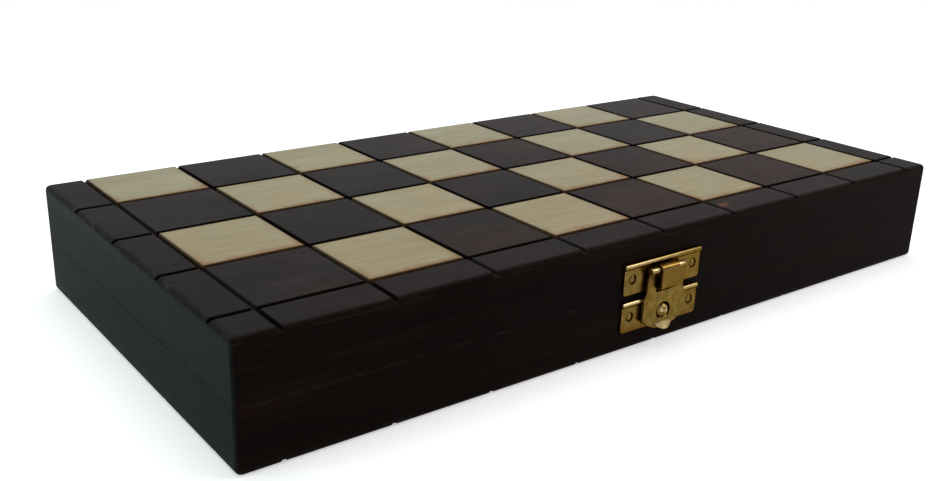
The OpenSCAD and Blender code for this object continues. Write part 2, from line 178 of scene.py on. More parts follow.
def add_box(bm, low, high):
    low, high = Vector(low), Vector(high)
    size = Matrix.Diagonal((*(high - low), 1))
    bmesh.ops.create_cube(bm, size=1, matrix=Matrix.Translation((low + high) / 2) @ size)


def block(low, high):
    bm = bmesh.new()
    add_box(bm, low, high)
    return bm


def near(a, b):
    return abs(a - b) < 0.01 * mm


def edges_across(bm, axis):
    """The edges whose two ends lie level along an axis: 0 for X, 1 for Y, 2 for Z."""
    return [e for e in bm.edges if near(*(v.co[axis] for v in e.verts))]


def edges_along(bm, axis):
    return [e for e in bm.edges if not near(*(v.co[axis] for v in e.verts))]


def edges_at(bm, axis, value):
    return [e for e in bm.edges if all(near(v.co[axis], value) for v in e.verts)]


def soften(bm, edges, radius, segments=3):
    edges = [e for e in edges if e.is_valid]
    if edges:
        bmesh.ops.bevel(bm, geom=edges, offset=radius, segments=segments, profile=0.5,
                        affect="EDGES", material=-1)


def as_object(bm, name):
    mesh = bpy.data.meshes.new(name)
    bm.to_mesh(mesh)
    bm.free()
    made = bpy.data.objects.new(name, mesh)
    scene.collection.objects.link(made)
    return made


def carve(bm, *cutters, keep=False):
    """Cuts each cutter out of bm, or keeps only what lies inside it."""
    work = as_object(bm, "work")
    for cutter in cutters:
        tool = as_object(cutter, "tool")
        cut = work.modifiers.new("cut", "BOOLEAN")
        cut.operation = "INTERSECT" if keep else "DIFFERENCE"
        cut.solver = "EXACT"
        cut.object = tool
        shaped = work.evaluated_get(bpy.context.evaluated_depsgraph_get())
        mesh = bpy.data.meshes.new_from_object(shaped)
        work.modifiers.clear()
        work.data = mesh
        bpy.data.objects.remove(tool)
    cut_bm = bmesh.new()
    cut_bm.from_mesh(work.data)
    bpy.data.objects.remove(work)
    return cut_bm


def finish_piece(bm, name, body, material, round_below=50):
    """Turns bm into the finished piece that stands for the CAD node of its name."""
    bmesh.ops.remove_doubles(bm, verts=bm.verts, dist=weld)
    for face in bm.faces:
        face.smooth = True
    for edge in bm.edges:
        edge.smooth = (len(edge.link_faces) == 2
                       and edge.calc_face_angle(0) < math.radians(round_below))
    piece = as_object(bm, name + ".look")
    piece.data.materials.append(material)
    even = piece.modifiers.new("even_shading", "WEIGHTED_NORMAL")
    even.keep_sharp = True
    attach(piece, body)
    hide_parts(name)


def mixed(factor, under, over):
    """under covered by over, as much as factor says."""
    return node_on("Mix", factor, None, None, None, None, None, under, over,
                   data_type="RGBA").outputs[2]


def ramp_of(value, spread, *colours):
    """Colours set out evenly over the values from 0.5 - spread to 0.5 + spread."""
    ramp = node_on("ValToRGB", value)
    points = ramp.color_ramp.elements
    while len(points) < len(colours):
        points.new(0.5)
    for k, (point, colour) in enumerate(zip(points, colours)):
        point.position = 0.5 + spread * (2 * k / (len(colours) - 1) - 1)
        point.color = (*colour, 1)
    return ramp.outputs[0]


def noise_of(place, stretch, detail=4.0, roughness=0.55, distortion=0.0):
    """Noise on object coordinates with stretch waves a metre along X, Y and Z."""
    stretched = node_on("Mapping", place, None, None, stretch).outputs[0]
    return node_on("TexNoise", stretched, None, 1.0, detail, roughness, None, None,
                   distortion).outputs[0]


def new_finish(name):
    """An empty material, its object coordinates, and those coordinates one by one."""
    material = bpy.data.materials.new(name)
    material.use_nodes = True
    tree = material.node_tree
    tree.nodes.clear()
    place = add_node(tree, "TexCoord").outputs["Object"]
    parts = add_node(tree, "SeparateXYZ", place).outputs
    return material, place, parts


def close_finish(colour, roughness, gloss, relief, depth, **constants):
    """The shader at the end of a finish, with gloss as its specular level."""
    shader = node_on("BsdfPrincipled", colour, None, roughness)
    shader.inputs["Specular IOR Level"].default_value = gloss
    for name, value in constants.items():
        shader.inputs[name.replace("_", " ").title()].default_value = value
    bump = node_on("Bump", 1.0, depth, None, relief)
    colour.id_data.links.new(bump.outputs[0], shader.inputs["Normal"])
    node_on("OutputMaterial", shader.outputs[0])


lesser_of, plus, minus = (partial(math_of, name) for name in ("MINIMUM", "ADD", "SUBTRACT"))
times, divided = partial(math_of, "MULTIPLY"), partial(math_of, "DIVIDE")
is_over, is_under = partial(math_of, "GREATER_THAN"), partial(math_of, "LESS_THAN")
part_past_whole, size_of = partial(math_of, "FRACT"), partial(math_of, "ABSOLUTE")
scaled_plus = partial(math_of, "MULTIPLY_ADD")


def apart(a, b):
    return size_of(minus(a, b))


def line_distance(part, first, last_cell):
    """Distance to the nearest groove line of one direction."""
    cell = lesser_of(divided(minus(part, first), square), last_cell)
    return times(apart(part_past_whole(plus(cell, 0.5)), 0.5), square)


def groove_distances(parts):
    """Distances to the grooves between columns and to those between rows."""
    return (line_distance(parts[0], column_x[0], columns + 0.3),
            line_distance(parts[1], row_y[0], rows - 1 + 0.4))


def inside_box(parts, low, high):
    """1 for points inside a box, 0 outside."""
    within = [times(is_over(part, least), is_under(part, most))
              for part, least, most in zip(parts, low, high)]
    return times(times(within[0], within[1]), within[2])


rail_t = 7 * mm
board_t = outline_high.z - outline_low.z
inner_low = Vector((outline_low.x + rail_t, outline_low.y + rail_t, board_t))
inner_high = Vector((outline_high.x - rail_t, back_y - rail_t, top_z - board_t))


def bare_wood(place):
    """Colour of the pale unstained wood inside the trays, with its grain along X."""
    fibres = noise_of(place, (28, 800, 800), detail=5)
    figure = noise_of(place, (5, 70, 70), detail=2, distortion=0.6)
    tone = plus(times(fibres, 0.5), times(figure, 0.5))
    return ramp_of(tone, 0.2, (0.36, 0.24, 0.125), (0.47, 0.335, 0.19), (0.56, 0.42, 0.26))


def end_distances(parts):
    """How far a point is from the middle of the length, and from the nearer end."""
    from_middle = apart(parts[0], (outline_low.x + outline_high.x) / 2)
    return from_middle, minus((outline_high.x - outline_low.x) / 2, from_middle)


def side_distance(parts):
    """How far a point is from the front or the back, whichever is nearer."""
    return lesser_of(minus(parts[1], outline_low.y), minus(back_y, parts[1]))


def side_stain_and_shade(tone, parts):
    """Colour of the near-black stain, painted darker than the top's as painted shade, and a
    little greener on the two short sides as a painted cool sheen.
    """
    reddish = ramp_of(tone, 0.14, (0.0036, 0.0022, 0.0019), (0.0066, 0.0036, 0.0029),
                      (0.0120, 0.0054, 0.0042))
    cool_sheen_green = ramp_of(tone, 0.14, (0.0045, 0.0060, 0.0058), (0.0065, 0.0088, 0.0086),
                       (0.0095, 0.0120, 0.0115))
    to_end = end_distances(parts)[1]
    return mixed(between(to_end, 0.8 * mm, 0.1 * mm), reddish, cool_sheen_green)


panel_stain, place, parts = new_finish("panel_stain")
fibres = noise_of(place, (22, 700, 700), detail=5)
figure = noise_of(place, (40, 90, 90), detail=3, distortion=0.4)
pores = noise_of(place, (350, 900, 900), detail=3)
tone = plus(times(fibres, 0.35), times(figure, 0.3))
tone = plus(tone, times(pores, 0.35))
grey_brown = ramp_of(tone, 0.13, (0.0110, 0.0092, 0.0089), (0.0168, 0.0142, 0.0138),
                     (0.0258, 0.0220, 0.0218))
red_brown = ramp_of(tone, 0.13, (0.0165, 0.0102, 0.0090), (0.0265, 0.0165, 0.0145),
                    (0.042, 0.027, 0.024))
drift = minus(parts[0], times(parts[1], 2.0))
blotches = plus(noise_of(place, (14, 18, 18), detail=2), drift)
blotches = between(blotches, 0.42, 0.68)
colour = mixed(blotches, grey_brown, red_brown)
# the borders took a second coat, and the rear half and the right are painted lighter, a painted
# sheen of grazing light
from_middle, to_end = end_distances(parts)
to_side = side_distance(parts)
on_border = greater_of(is_over(from_middle, columns / 2 * square), is_under(parts[1], row_y[0]))
sheen_to_back_right = between(scaled_plus(parts[0], 0.25, parts[1]), row_y[1], back_y + 50 * mm)
sheen_grey = (0.060, 0.052, 0.051, 1)
colour = mixed(times(sheen_to_back_right, 0.3), colour, sheen_grey)
border_stain = mixed(0.3, grey_brown, (0.0042, 0.0040, 0.0037, 1))
colour = mixed(times(on_border, 0.8), colour, border_stain)
# the edges are painted as dark as the rails, darker than the top's stain as painted shade, and
# worn along the front and at the ends
to_face = lesser_of(size_of(parts[2]), apart(parts[2], top_z))
edge_stain_and_shade = side_stain_and_shade(tone, parts)
below_rim = between(to_face, 0.2 * mm, 1.1 * mm)
at_front = between(parts[1], outline_low.y + 2.0 * mm, outline_low.y + 1.2 * mm)
front_rim = times(at_front, between(to_face, 0.02 * mm, 0.4 * mm))
outside = is_under(lesser_of(to_end, to_side), edge_r + 0.1 * mm)
below_rim = times(outside, greater_of(below_rim, front_rim))
colour = mixed(below_rim, colour, edge_stain_and_shade)
worn_spots = between(noise_of(place, (90, 170, 220), detail=5), 0.4, 0.6)
arris = times(between(to_face, 1.1 * mm, 1.5 * mm), between(to_face, 2.1 * mm, 1.7 * mm))
arris = times(arris, times(at_front, worn_spots))
worn_black, worn_grey = (0.017, 0.013, 0.011, 1), (0.055, 0.050, 0.050, 1)
colour = mixed(times(arris, 0.55), colour, worn_black)
rubbed = times(between(to_end, 1.8 * mm, 0.9 * mm), between(to_face, 2.2 * mm, 1.2 * mm))
specks = between(noise_of(place, (300, 170, 220), detail=5), 0.54, 0.72)
rubbed = times(rubbed, times(specks, 0.4))
colour = mixed(rubbed, colour, worn_grey)
# the grooves are charred, but faintly across the front border and beside its dark squares,
# where the column grooves are painted lighter than the stain, standing in for light on their
# walls
to_column, to_row = groove_distances(parts)
odd_row = part_past_whole(divided(minus(parts[1], row_y[0]), 2 * square))
beside_dark = times(is_under(parts[0], column_x[0] + 2 * mm), is_under(odd_row, 0.5))
in_front = is_under(parts[1], row_y[0] - 0.9 * mm)
beside_dark = times(beside_dark, minus(1.0, in_front))
in_front = times(in_front, is_over(parts[0], column_x[1] + 5 * mm))
faint = times(is_over(parts[2], seam_z), greater_of(beside_dark, in_front))
in_groove = between(to_face, groove_d + 0.15 * mm, groove_d + 0.05 * mm)
in_column = times(in_groove, between(to_column, 1.15 * mm, 0.75 * mm))
groove_wall_light, char = (0.030, 0.024, 0.022, 1), (0.0070, 0.0052, 0.0044, 1)
colour = mixed(times(times(faint, in_column), 0.5), colour, groove_wall_light)
charred = times(scaled_plus(faint, -0.95, 0.95), in_column)
in_row = times(in_groove, between(to_row, 1.25 * mm, 0.85 * mm))
colour = mixed(greater_of(in_row, charred), colour, char)
# one scrape on the front border shows the wood under the stain
scraped_wood = (0.095, 0.038, 0.022, 1)
scuff_at, scuff_size = Vector((36.6, -64.4, 38.0)) * mm, Vector((4.2, 2.4, 1.0)) * mm
off = node_on("VectorMath", place, scuff_at, operation="SUBTRACT").outputs[0]
off = node_on("VectorMath", off, scuff_size, operation="DIVIDE").outputs[0]
scraped = noise_of(place, (600, 900, 300), detail=4, roughness=0.65)
scraped = plus(length_of(off), times(scraped, 3.2))
colour = mixed(times(between(scraped, 2.8, 1.5), 0.9), colour, scraped_wood)
reach = Vector((0.1 * mm,) * 3)
indoors = inside_box(parts, inner_low - reach, inner_high + reach)
colour = mixed(indoors, colour, bare_wood(place))
sheen = plus(times(fibres, 0.25), 0.32)
close_finish(colour, sheen, 0.014, relief=fibres, depth=0.03 * mm,
             specular_tint=(0.86, 1.0, 0.98, 1))


def panel_blank(low, high, face_z):
    bm = block(low, high)
    upright, on_face = edges_along(bm, 2), edges_at(bm, 2, face_z)
    soften(bm, [e for e in bm.edges if e in upright or e in on_face], edge_r, segments=6)
    return bm


def boxes_down(face_z, depth, plans):
    """Boxes on the playing face at face_z, depth into the wood and a little out of it."""
    inward = 1 if face_z < seam_z else -1
    z0, z1 = sorted((face_z - inward * past, face_z + inward * depth))
    bm = bmesh.new()
    for x0, x1, y0, y1 in plans:
        add_box(bm, (x0, y0, z0), (x1, y1, z1))
    return bm


def light_plans(parity, shrink):
    """Plans of the light squares, each short of its groove lines by shrink."""
    return [(column_x[i] + shrink, column_x[i + 1] - shrink, row_y[j] + shrink,
             row_y[j + 1] - shrink if j + 1 < rows else back_y + past)
            for i in range(columns) for j in range(rows) if (i + j) % 2 == parity]


def soften_lips(bm, face_z):
    lips = [e for e in bm.edges
            if len(e.link_faces) == 2 and e.calc_face_angle_signed(0) > 0.9
            and abs(sum(v.co.z for v in e.verts) / 2 - face_z) < tile_t - 0.1 * mm]
    soften(bm, lips, lip, segments=2)


def make_panel(tray, face_z, parity):
    low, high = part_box(tray + "_board")
    half = groove_w / 2
    column_cuts = [(x - half, x + half, low.y - past, high.y + past) for x in column_x]
    row_cuts = [(low.x - past, high.x + past, y - half, y + half) for y in row_y]
    bm = carve(panel_blank(low, high, face_z),
               boxes_down(face_z, groove_d, column_cuts),
               boxes_down(face_z, groove_d - hair, row_cuts),
               boxes_down(face_z, tile_t, light_plans(parity, tile_bed)))
    soften_lips(bm, face_z)
    finish_piece(bm, tray + "_board", tray, panel_stain)


make_panel("base", face_z=0, parity=0)
make_panel("lid", face_z=top_z, parity=1)

# Light squares: thin squares of pale wood let into each panel and sanded level with it. The
# groove that was milled round them has scorched their edges orange, most along the front.
scorched, burnt_edge = (0.20, 0.072, 0.018, 1), (0.030, 0.012, 0.005, 1)
light_wood, place, parts = new_finish("light_wood")
fibres = noise_of(place, (30, 900, 900), detail=5)
figure = noise_of(place, (9, 60, 60), detail=2, distortion=0.5)
tone = plus(times(fibres, 0.45), times(figure, 0.55))
pores = noise_of(place, (120, 700, 700), detail=3)
tone = plus(times(tone, 0.6), times(pores, 0.4))
warm = ramp_of(tone, 0.12, (0.281, 0.231, 0.140), (0.315, 0.262, 0.163),
               (0.349, 0.293, 0.187))
greyed = ramp_of(tone, 0.12, (0.261, 0.239, 0.162), (0.298, 0.273, 0.190),
                 (0.335, 0.308, 0.219))
# the squares turn greyer toward the back and the right
greyer_back_right = noise_of(place, (60, 75, 75), detail=3, roughness=0.6)
greyer_back_right = scaled_plus(parts[1], 3.0, greyer_back_right)
greyer_back_right = scaled_plus(parts[0], 0.9, greyer_back_right)
colour = mixed(between(greyer_back_right, 0.25, 0.75), warm, greyed)
groove = lesser_of(*groove_distances(parts))
patches = noise_of(place, (120, 160, 160), detail=4, roughness=0.65)
ragged = plus(groove, times(minus(patches, 0.5), 9 * mm))
scorch = between(ragged, 4.2 * mm, 0.6 * mm)
cell = part_past_whole(divided(minus(parts[1], row_y[0]), square))
front_edge = between(cell, 0.45, 0.05)
scorch = times(scorch, plus(times(front_edge, 0.45), 0.12))
colour = mixed(scorch, colour, scorched)
rim = between(groove, 1.5 * mm, 0.85 * mm)
colour = mixed(times(rim, 0.8), colour, burnt_edge)
sheen = plus(times(fibres, 0.2), 0.4)
close_finish(colour, sheen, 0.02, relief=fibres, depth=0.02 * mm)


def make_light_squares(tray, face_z, parity):
    low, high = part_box(tray + "_board")
    bm = carve(panel_blank(low, high, face_z),
               boxes_down(face_z, tile_t, light_plans(parity, groove_w / 2)), keep=True)
    soften_lips(bm, face_z)
    finish_piece(bm, tray + "_light_squares", tray, light_wood)


make_light_squares("base", face_z=0, parity=0)
make_light_squares("lid", face_z=top_z, parity=1)

# Rails: four strips of the same wood round each tray, mitred at the corners and glued under
# the panel. They are stained near black outside and on the rim, painted darker there than the
# panel's stain as painted shade, and left bare inside.
seam_ease = 0.15 * mm
bay_half, slat_t, housing = 44.5 * mm, 3 * mm, 1.5 * mm
leaf_t = 0.8 * mm
seam_glint_colour = (0.026, 0.020, 0.017, 1)
quarter_turn = math.radians(90)


def turned(place, angle):
    return node_on("Mapping", place, None, (0, 0, angle)).outputs[0]


def make_rail_finish(name, angle):
    """Near-black stain outside, painted darker as shade and with painted seam highlights, and
    bare wood inside, with the grain turned from X.
    """
    material, place, parts = new_finish(name)
    place = turned(place, angle)
    fibres = noise_of(place, (24, 800, 800), detail=5)
    figure = noise_of(place, (6, 70, 70), detail=3, distortion=0.5)
    tone = plus(times(fibres, 0.45), times(figure, 0.55))
    colour = side_stain_and_shade(tone, parts)
    to_seam = apart(parts[2], seam_z)
    # painted highlights: lighter dashes along the seam on the front and back faces, where the
    # eased rims catch the light
    seam_glints = noise_of(place, (220, 260, 260), detail=5, roughness=0.7)
    seam_glints = scaled_plus(parts[0], -1.0, seam_glints)
    seam_glints = times(between(seam_glints, 0.5, 0.75), between(to_seam, 0.4 * mm, 0.2 * mm))
    to_side = side_distance(parts)
    seam_glints = times(seam_glints, is_under(to_side, 0.2 * mm))
    colour = mixed(times(seam_glints, 0.6), colour, seam_glint_colour)
    # the slots for the slats were cut after staining
    indoors = inside_box(parts, inner_low - reach, inner_high + reach)
    past_middle = minus(size_of(parts[0]), bay_half + slat_t / 2)
    in_slot = times(is_under(size_of(past_middle), slat_t / 2 + 0.03 * mm),
                    is_over(to_side, rail_t - housing - 0.1 * mm))
    in_slot = times(in_slot, is_under(parts[2], seam_z - hair))
    indoors = greater_of(indoors, in_slot)
    colour = mixed(indoors, colour, bare_wood(place))
    sheen = plus(times(figure, 0.3), 0.33)
    close_finish(colour, sheen, 0.014, relief=fibres, depth=0.03 * mm,
                 specular_tint=(0.74, 1.0, 0.94, 1))
    return material


long_rail_stain = make_rail_finish("long_rail_stain", 0.0)
short_rail_stain = make_rail_finish("short_rail_stain", quarter_turn)


def add_rod(bm, start, end, radius, end_radius=None, segments=48):
    start, end = Vector(start), Vector(end)
    aimed = (end - start).to_track_quat("Z", "Y").to_matrix().to_4x4()
    bmesh.ops.create_cone(
        bm, cap_ends=True, segments=segments, radius1=radius,
        radius2=radius if end_radius is None else end_radius, depth=(end - start).length,
        matrix=Matrix.Translation((start + end) / 2) @ aimed)


def rod(start, end, radius, segments=48):
    bm = bmesh.new()
    add_rod(bm, start, end, radius, segments=segments)
    return bm


def cut_off(bm, point, normal):
    """Saws bm at a plane and closes the cut, which loses what the normal points to."""
    cut = bmesh.ops.bisect_plane(bm, geom=bm.verts[:] + bm.edges[:] + bm.faces[:],
                                 plane_co=point, plane_no=normal, clear_outer=True)
    rim = [g for g in cut["geom_cut"] if isinstance(g, bmesh.types.BMEdge)]
    bmesh.ops.contextual_create(bm, geom=rim)


knuckle_r, pin_r, pin_fit = 1.9 * mm, 0.8 * mm, 0.05 * mm
notch_gap = 0.35 * mm
axis = Vector((0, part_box("hinge_pin_left")[0].y + pin_r, seam_z))


def slot_boxes(y_in, side, z0, z1):
    bm = bmesh.new()
    for x in (-bay_half - slat_t, bay_half):
        y0, y1 = sorted((y_in - side * past, y_in + side * housing))
        add_box(bm, (x, y0, z0 - past), (x + slat_t, y1, z1 + past))
    return bm


def make_rail(tray, side_name, inward):
    name = f"{tray}_{side_name}_rail"
    inward = Vector(inward)
    along = Vector((inward.y, -inward.x, 0))
    low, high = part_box(name)
    bm = block((outline_low.x, outline_low.y, low.z), (outline_high.x, back_y, high.z))
    soften(bm, edges_along(bm, 2), edge_r, segments=8)
    middle = (outline_low + outline_high) / 2
    reach_out = Vector(((outline_high.x - outline_low.x) / 2, (back_y - outline_low.y) / 2, 0))
    face = middle - Vector(a * b for a, b in zip(inward, reach_out))
    for end in (-1, 1):
        corner = face + end * Vector(a * b for a, b in zip(along, reach_out))
        cut_off(bm, corner, inward + end * along)
    cut_off(bm, face + inward * rail_t, inward)
    bmesh.ops.recalc_face_normals(bm, faces=bm.faces)
    bm.normal_update()
    rim = [e for e in edges_at(bm, 2, seam_z)
           if any(abs(f.normal.z) < 0.1 and abs(f.normal.dot(inward)) > 0.72
                  for f in e.link_faces)]
    soften(bm, rim, seam_ease, segments=3)
    cutters = []
    if tray == "base" and inward.y:
        cutters.append(slot_boxes((face + inward * rail_t).y, -inward.y, low.z, high.z))
    if side_name == "back":
        for hinge in ("left", "right"):
            leaf_low, leaf_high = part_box(f"{tray}_hinge_leaf_{hinge}")
            z0, z1 = ((seam_z - leaf_t, seam_z + past) if tray == "base"
                      else (seam_z - past, seam_z + leaf_t))
            recess = block((leaf_low.x, leaf_low.y, z0), (leaf_high.x, back_y + past, z1))
            notch = rod((leaf_low.x - notch_gap, axis.y, axis.z),
                        (leaf_high.x + notch_gap, axis.y, axis.z), knuckle_r + notch_gap)
            cutters += [recess, notch]
    if cutters:
        bm = carve(bm, *cutters)
    finish_piece(bm, name, tray,
                 long_rail_stain if inward.y else short_rail_stain, round_below=40)


for tray in ("base", "lid"):
    make_rail(tray, "front", (0, 1, 0))
    make_rail(tray, "back", (0, -1, 0))
    make_rail(tray, "left", (1, 0, 0))
    make_rail(tray, "right", (-1, 0, 0))

# Slats: two thin strips of bare wood across the lower tray, with their ends in slots in the
# long rails, and one strip along each channel, with its ends in notches in the first two.


def make_slat_wood(name, angle):
    material, place, parts = new_finish(name)
    place = turned(place, angle)
    fibres = noise_of(place, (28, 800, 800), detail=5)
    close_finish(bare_wood(place), 0.62, 0.3, relief=fibres, depth=0.04 * mm)
    return material


slat_wood = make_slat_wood("slat_wood", 0.0)
cross_wood = make_slat_wood("cross_slat_wood", quarter_turn)

for name, wood in (("left_slat", cross_wood), ("right_slat", cross_wood),
                   ("front_slat", slat_wood), ("back_slat", slat_wood)):
    low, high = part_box(name)
    bm = block(low, high)
    soften(bm, edges_at(bm, 2, high.z), 0.4 * mm)
    if wood == cross_wood:
        notches = bmesh.new()
        for crossing in ("front_slat", "back_slat"):
            c_low, c_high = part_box(crossing)
            x0, x1 = ((c_low.x, high.x + past) if name == "left_slat"
                      else (low.x - past, c_high.x))
            add_box(notches, (x0, c_low.y, low.z - past), (x1, c_high.y, high.z + past))
        bm = carve(bm, notches)
    finish_piece(bm, name, "base", wood)

# Hinges: two small butt hinges let into the rims of the back rails. Each leaf is brass strip
# whose end is curled into knuckles round a brass pin, held by two countersunk nails.
knuckle_gap, knuckles = 0.3 * mm, 3
nail_r, head_r, leaf_corner, leaf_ease = 0.5 * mm, 1.1 * mm, 0.5 * mm, 0.12 * mm
hinge_brass, place, parts = new_finish("hinge_brass")
clouds = noise_of(place, (300, 300, 300), detail=5)
colour = ramp_of(clouds, 0.15, (0.20, 0.125, 0.032), (0.36, 0.25, 0.075))
pin_mid = (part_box("hinge_pin_right")[0].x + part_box("hinge_pin_right")[1].x) / 2
nails_low, nails_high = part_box("base_hinge_nails")
nail_y = (nails_low.y + nails_high.y) / 2
# darker in a ring round each nail head
aside = minus(size_of(parts[0]), pin_mid)
aside = minus(size_of(aside), nails_high.x - head_r - pin_mid)
beyond = minus(parts[1], nail_y)
away = length_of(node_on("CombineXYZ", aside, beyond).outputs[0])
ring = apart(away, head_r)
darkening = times(between(ring, 0.22 * mm, 0.08 * mm), 0.9)
colour = mixed(darkening, colour, (0.020, 0.011, 0.004, 1))
worn = plus(times(clouds, 0.3), 0.16)
close_finish(colour, worn, 0.5, relief=clouds, depth=0.01 * mm, metallic=1.0)


def knuckle_length(pin_low, pin_high):
    return (pin_high.x - pin_low.x - (knuckles - 1) * knuckle_gap) / knuckles


def nail_spots(side):
    low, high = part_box("hinge_pin_" + side)
    knuckle_l = knuckle_length(low, high)
    return [(low.x + knuckle_l / 2, nail_y), (high.x - knuckle_l / 2, nail_y)]


def add_part(whole, part):
    mesh = bpy.data.meshes.new("part")
    part.to_mesh(mesh)
    part.free()
    whole.from_mesh(mesh)
    bpy.data.meshes.remove(mesh)


def make_leaf(tray, side):
    name = f"{tray}_hinge_leaf_{side}"
    low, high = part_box(name)
    pin_low, pin_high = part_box("hinge_pin_" + side)
    inward = -1 if tray == "base" else 1
    own = (0, 2) if tray == "base" else (1,)
    knuckle_l = knuckle_length(pin_low, pin_high)
    starts = [pin_low.x + k * (knuckle_l + knuckle_gap) for k in range(knuckles)]
    wall_mid = (knuckle_r + pin_r + pin_fit) / 2
    z0, z1 = sorted((seam_z, seam_z + inward * leaf_t))
    plate = block((pin_low.x, low.y, z0), (pin_high.x, axis.y - wall_mid, z1))
    soften(plate, edges_along(plate, 2), leaf_corner)
    soften(plate, edges_at(plate, 2, seam_z), leaf_ease, segments=2)
    room = bmesh.new()
    for k in set(range(knuckles)) - set(own):
        add_box(room, (starts[k] - knuckle_gap, axis.y - knuckle_r - notch_gap, z0 - past),
                (starts[k] + knuckle_l + knuckle_gap, axis.y + past, z1 + past))
    holes, sink = bmesh.new(), bmesh.new()
    for x, y in nail_spots(side):
        add_rod(holes, (x, y, seam_z - past), (x, y, seam_z + past), nail_r, segments=24)
        add_rod(sink, (x, y, seam_z + inward * (head_r - nail_r)), (x, y, seam_z), nail_r,
                head_r, segments=24)
    plate = carve(plate, room, holes, sink)
    for k in own:
        tube = rod((starts[k], axis.y, axis.z), (starts[k] + knuckle_l, axis.y, axis.z),
                   knuckle_r - hair)
        soften(tube, edges_across(tube, 0), 0.15 * mm, segments=2)
        bore = rod((starts[k] - past, axis.y, axis.z),
                   (starts[k] + knuckle_l + past, axis.y, axis.z), pin_r + pin_fit)
        add_part(plate, carve(tube, bore))
    finish_piece(plate, name, tray, hinge_brass, round_below=40)


def spun(bm, points, centre, axis, steps):
    """Turns a chain of points once round an axis through centre."""
    verts = [bm.verts.new(point) for point in points]
    edges = [bm.edges.new(pair) for pair in zip(verts, verts[1:])]
    bmesh.ops.spin(bm, geom=verts + edges, cent=centre, axis=axis, angle=math.tau,
                   steps=steps, use_merge=True)


def joined(*parts_of_piece):
    """One bmesh of several, each closed by itself and facing outwards."""
    whole = bmesh.new()
    for part in parts_of_piece:
        bmesh.ops.remove_doubles(part, verts=part.verts, dist=weld)
        bmesh.ops.holes_fill(part, edges=[e for e in part.edges if len(e.link_faces) < 2])
        bmesh.ops.recalc_face_normals(part, faces=part.faces)
        if part.calc_volume(signed=True) < 0:
            bmesh.ops.reverse_faces(part, faces=part.faces)
        add_part(whole, part)
    return whole


for side in ("left", "right"):
    make_leaf("base", side)
    make_leaf("lid", side)
    low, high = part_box("hinge_pin_" + side)
    bm = rod((low.x, axis.y, axis.z), (high.x, axis.y, axis.z), pin_r, segments=32)
    soften(bm, edges_across(bm, 0), 0.3 * mm)
    finish_piece(bm, "hinge_pin_" + side, "base", hinge_brass)

for tray, inward in (("base", -1), ("lid", 1)):
    low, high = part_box(tray + "_hinge_nails")
    tip = low.z if tray == "base" else high.z
    neck = seam_z + inward * (head_r - nail_r)
    half_nail = [(0, tip), (nail_r, tip), (nail_r, neck), (head_r, seam_z), (0, seam_z)]
    bm = bmesh.new()
    for x, y in nail_spots("left") + nail_spots("right"):
        spun(bm, [(x + r, y, z) for r, z in half_nail], (x, y, tip), (0, 0, 1), 20)
    finish_piece(joined(bm), tray + "_hinge_nails", tray, hinge_brass)

# Latch plates: two small plates stamped from thin brass, each held on its front rail by two
# brass nails. A plate has eased edges, rounded lower corners and a rolled upper edge.
sheet_t, plate_corner, plate_t = 0.85 * mm, 1.2 * mm, 1.2 * mm
roll_h, roll_d, plate_ease = 0.95 * mm, 0.7 * mm, 0.3 * mm
core_r, core_d = 0.35 * mm, 1.5 * mm
latch_head_r, head_h, latch_nail_r = 1.25 * mm, 0.6 * mm, 0.6 * mm
punch_r, head_seat, dirt_r = 1.5 * mm, 0.6 * mm, 1.4 * mm
front_y = outline_low.y
nails_low, nails_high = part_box("latch_nails")
latch_x = (nails_low.x + nails_high.x) / 2
nail_reach = nails_high.x - latch_head_r - latch_x
stud_r, stud_h, stud_z = 2.8 * mm, 2.3 * mm, seam_z - 7.5 * mm
browned, polish_and_highlight = (0.115, 0.056, 0.015, 1), (0.62, 0.50, 0.26, 1)
ring_and_shadow_brown = (0.022, 0.011, 0.004, 1)


def make_latch_brass(name, polish_and_highlights_of, tarnished_of):
    """Brass lighter where its first mask gives 1, partly rubbed bright and partly painted
    highlight, and browned by tarnished_of.
    """
    material, place, parts = new_finish(name)
    clouds = noise_of(place, (500, 500, 500), detail=6, roughness=0.6)
    smears = noise_of(place, (90, 90, 160), detail=3)
    colour = ramp_of(clouds, 0.14, (0.108, 0.069, 0.019), (0.146, 0.097, 0.027),
                     (0.194, 0.133, 0.041))
    tarnish = times(between(smears, 0.45, 0.75), 0.4)
    tarnish = greater_of(tarnish, tarnished_of(parts))
    colour = mixed(tarnish, colour, browned)
    colour = mixed(times(polish_and_highlights_of(parts), 0.8), colour, polish_and_highlight)
    # darker in a ring round each nail head
    aside = minus(apart(parts[0], latch_x), nail_reach)
    above = lesser_of(*(apart(parts[2], z) for z in nail_heights))
    away = length_of(node_on("CombineXYZ", aside, above).outputs[0])
    ring = apart(away, dirt_r)
    darkening = times(between(ring, 0.4 * mm, 0.15 * mm), 0.85)
    # painted shadow: a dark line along the lower edge of each roll, where it meets the plate
    shadow_line_under_rolls = lesser_of(*(apart(parts[2], z - roll_h * 0.8) for z in roll_heights))
    shadow_line_under_rolls = between(shadow_line_under_rolls, 0.34 * mm, 0.16 * mm)
    shadow_line_under_rolls = times(shadow_line_under_rolls, is_over(parts[1], front_y - 1.35 * mm))
    darkening = greater_of(darkening, times(shadow_line_under_rolls, 0.8))
    colour = mixed(darkening, colour, ring_and_shadow_brown)
    worn = plus(times(clouds, 0.24), 0.12)
    close_finish(colour, worn, 0.5, relief=clouds, depth=0.012 * mm, metallic=1.0,
                 specular_tint=(0.62, 0.46, 0.22, 1))
    return material


nail_heights = [(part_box(nails)[0].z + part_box(nails)[1].z) / 2
                for nails in ("strike_nails", "latch_nails")]
roll_heights = [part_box(plate)[1].z - roll_h for plate in ("strike_plate", "latch_plate")]


